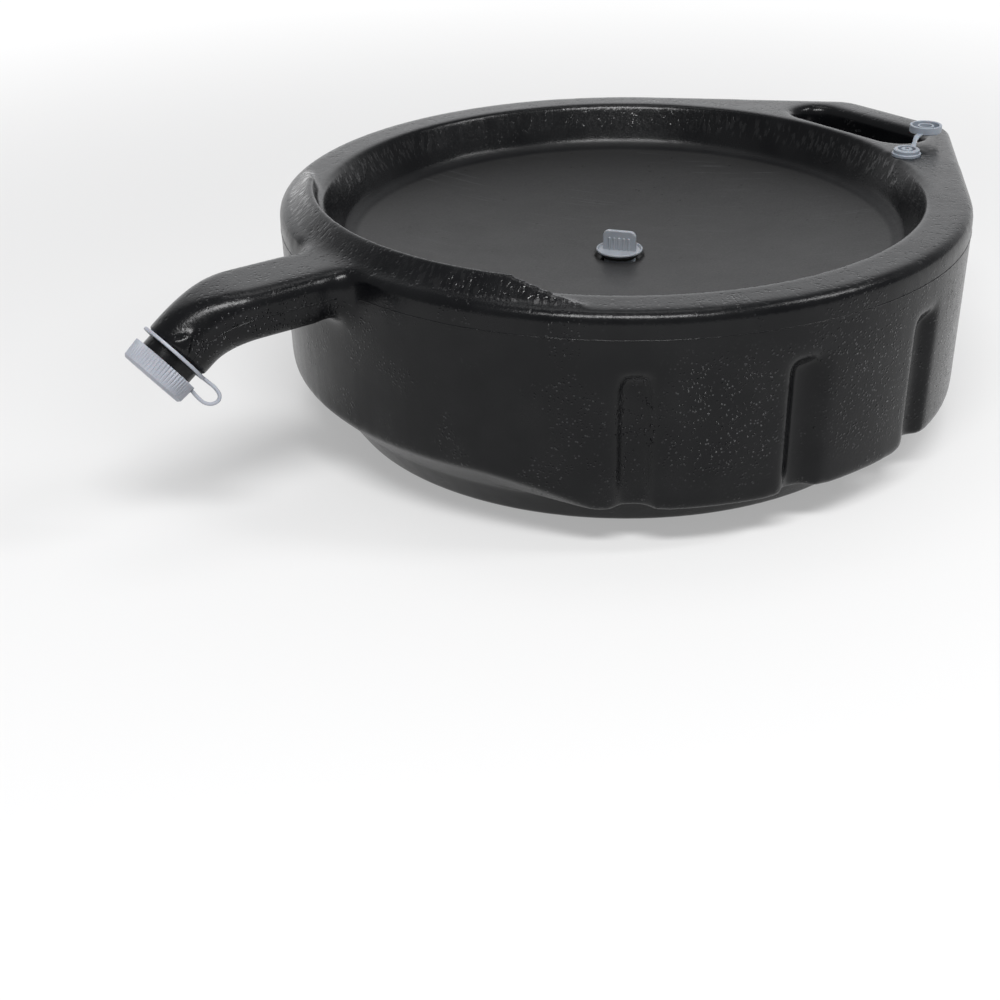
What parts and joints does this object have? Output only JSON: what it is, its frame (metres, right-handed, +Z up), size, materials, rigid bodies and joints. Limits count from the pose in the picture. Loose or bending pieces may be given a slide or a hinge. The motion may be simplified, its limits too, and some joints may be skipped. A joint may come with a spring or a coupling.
{
  "type": "oil drain pan",
  "caption": "Low round drain pan with a closed reservoir, dished tray, screw-in tray plug, bent pouring spout with tethered screw cap, snap-cap vent and moulded carrying handle.",
  "frame": {"origin": "centre of the round foot, on the floor", "axes": "+Z up, +X from the drum's centre to the carrying handle, -X to the pouring spout, +Y to the left when looking along +X"},
  "size_m": [0.609, 0.442, 0.158],
  "materials": {
    "black_hdpe": "satin, fine pebble grain",
    "plug_grey": "satin",
    "seal_rubber": "matt",
    "cap_grey": "satin",
    "liner_white": "matt foam",
    "vent_grey": "satin"
  },
  "bodies": {
    "pan": {"reservoir": "black_hdpe", "vent_base": "vent_grey", "vent_strap": "vent_grey"},
    "seal": {"drain_plug_seal": "seal_rubber"},
    "plug": {"drain_plug": "plug_grey"},
    "tether": {"cap_tether": "cap_grey"},
    "cap": {"spout_cap": "cap_grey", "spout_cap_liner": "liner_white"},
    "vent_lid": {"vent_cap": "vent_grey"}
  },
  "joints": [
    {"name": "plug_turn", "type": "hinge", "parent": "seal", "child": "plug", "pos_m": [0, 0, 0.1], "axis": [0, 0, 1], "range_deg": [-126.01, 432.01]},
    {"name": "plug_lift", "type": "slide", "parent": "pan", "child": "seal", "axis": [0, 0, 1], "range_m": [-0.0021, 0.0072]},
    {"name": "neck_turn", "type": "hinge", "parent": "pan", "child": "tether", "pos_m": [-0.3169, 0, 0.11378], "axis": [-0.809, 0, -0.5878], "range_deg": [-0.01, 1080.01]},
    {"name": "cap_lift", "type": "slide", "parent": "tether", "child": "cap", "axis": [-0.809, 0, -0.5878], "range_m": [0, 0.0126]},
    {"name": "vent_flip", "type": "hinge", "parent": "pan", "child": "vent_lid", "pos_m": [0.20465, -0.0678, 0.1531], "axis": [0.3584, -0.9336, 0], "range_deg": [0, 180]}
  ],
  "couplings": [
    {"joint": "plug_turn", "follows": "plug_lift", "rad_per_m": 1047.2},
    {"joint": "neck_turn", "follows": "cap_lift", "rad_per_m": 1496}
  ]
}
